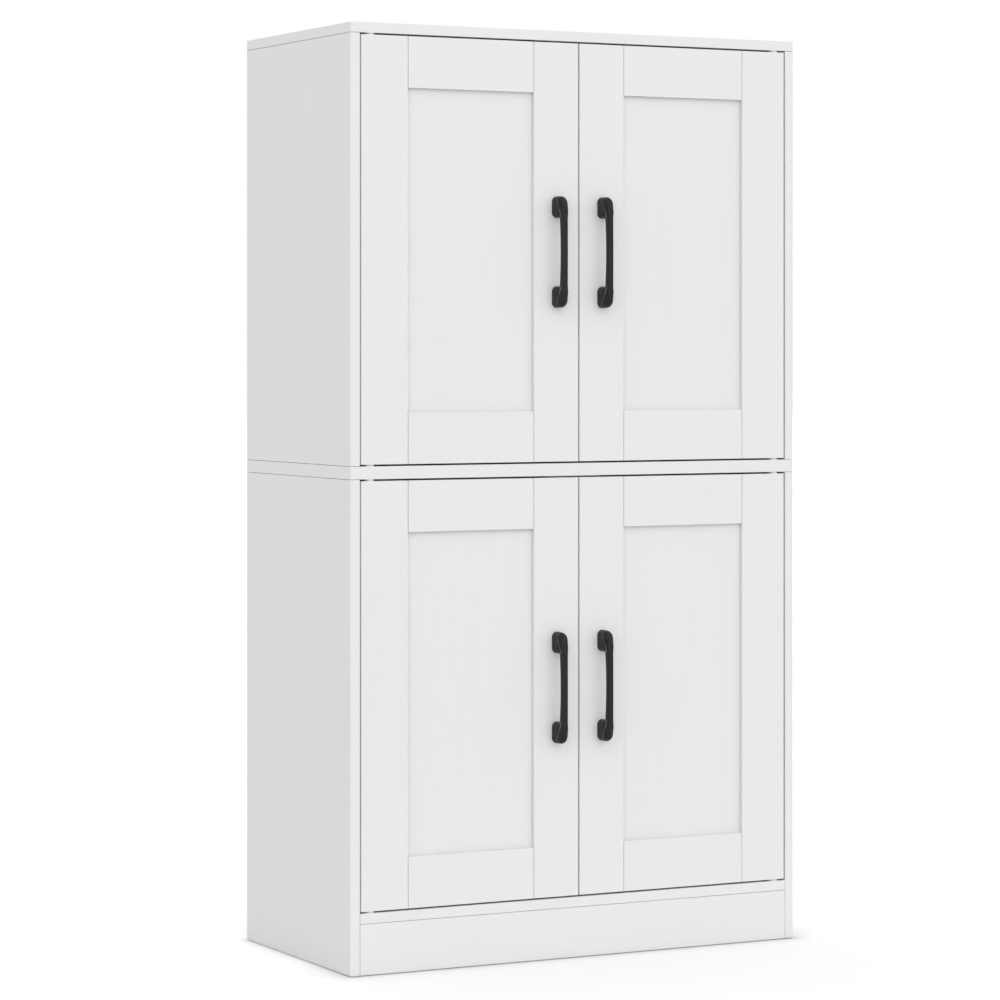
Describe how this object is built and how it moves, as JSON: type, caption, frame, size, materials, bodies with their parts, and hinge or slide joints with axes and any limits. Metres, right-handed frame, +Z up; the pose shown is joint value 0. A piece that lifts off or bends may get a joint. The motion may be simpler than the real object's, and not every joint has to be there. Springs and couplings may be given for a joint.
{
  "type": "pantry cabinet",
  "caption": "Tall narrow freestanding two-tier storage cabinet with inset shaker doors on pivot hinges, black arch pulls, adjustable shelves and a plinth.",
  "frame": {"origin": "floor level, at the middle of the whole outline in plan, pulls included", "axes": "+Z up, -Y towards the front with the doors, +X towards the right-hand door as seen from the front"},
  "size_m": [0.6, 0.323, 1.1],
  "materials": {
    "white_board": "satin",
    "white_panel": "satin",
    "white_backing": "matte",
    "white_nylon": "satin",
    "black_metal": "satin",
    "plated_steel": "satin",
    "zinc": "satin",
    "magnet": "matte",
    "beech": "matte"
  },
  "bodies": {
    "carcass": {"top_board": "white_board", "middle_board": "white_board", "bottom_board": "white_board", "kick_board": "white_board", "upper_side_left": "white_board", "upper_side_right": "white_board", "lower_side_left": "white_board", "lower_side_right": "white_board", "upper_back_panel": "white_backing", "lower_back_panel": "white_backing", "upper_shelf": "white_board", "lower_shelf": "white_board", "shelf_pins": "plated_steel", "cam_bolts": "plated_steel", "cam_locks": "zinc", "dowels": "beech", "hinge_bushes": "white_nylon", "catch_housings": "white_nylon", "catch_magnets": "magnet", "catch_screws": "plated_steel", "wall_bracket": "plated_steel", "bracket_screws": "plated_steel"},
    "upper_left_door": {"upper_left_hinge_stile": "white_board", "upper_left_meeting_stile": "white_board", "upper_left_top_rail": "white_board", "upper_left_bottom_rail": "white_board", "upper_left_panel": "white_panel", "upper_left_pivots": "white_nylon", "upper_left_pull": "black_metal", "upper_left_pull_screws": "plated_steel", "upper_left_strike_plate": "plated_steel"},
    "upper_right_door": {"upper_right_hinge_stile": "white_board", "upper_right_meeting_stile": "white_board", "upper_right_top_rail": "white_board", "upper_right_bottom_rail": "white_board", "upper_right_panel": "white_panel", "upper_right_pivots": "white_nylon", "upper_right_pull": "black_metal", "upper_right_pull_screws": "plated_steel", "upper_right_strike_plate": "plated_steel"},
    "lower_left_door": {"lower_left_hinge_stile": "white_board", "lower_left_meeting_stile": "white_board", "lower_left_top_rail": "white_board", "lower_left_bottom_rail": "white_board", "lower_left_panel": "white_panel", "lower_left_pivots": "white_nylon", "lower_left_pull": "black_metal", "lower_left_pull_screws": "plated_steel", "lower_left_strike_plate": "plated_steel"},
    "lower_right_door": {"lower_right_hinge_stile": "white_board", "lower_right_meeting_stile": "white_board", "lower_right_top_rail": "white_board", "lower_right_bottom_rail": "white_board", "lower_right_panel": "white_panel", "lower_right_pivots": "white_nylon", "lower_right_pull": "black_metal", "lower_right_pull_screws": "plated_steel", "lower_right_strike_plate": "plated_steel"}
  },
  "joints": [
    {"name": "upper_left_hinge", "type": "hinge", "parent": "carcass", "child": "upper_left_door", "pos_m": [-0.2735, -0.132, 0.83775], "axis": [0, 0, -1], "range_deg": [0, 110]},
    {"name": "upper_right_hinge", "type": "hinge", "parent": "carcass", "child": "upper_right_door", "pos_m": [0.2735, -0.132, 0.83775], "axis": [0, 0, 1], "range_deg": [0, 110]},
    {"name": "lower_left_hinge", "type": "hinge", "parent": "carcass", "child": "lower_left_door", "pos_m": [-0.2735, -0.132, 0.32225], "axis": [0, 0, -1], "range_deg": [0, 110]},
    {"name": "lower_right_hinge", "type": "hinge", "parent": "carcass", "child": "lower_right_door", "pos_m": [0.2735, -0.132, 0.32225], "axis": [0, 0, 1], "range_deg": [0, 110]}
  ]
}
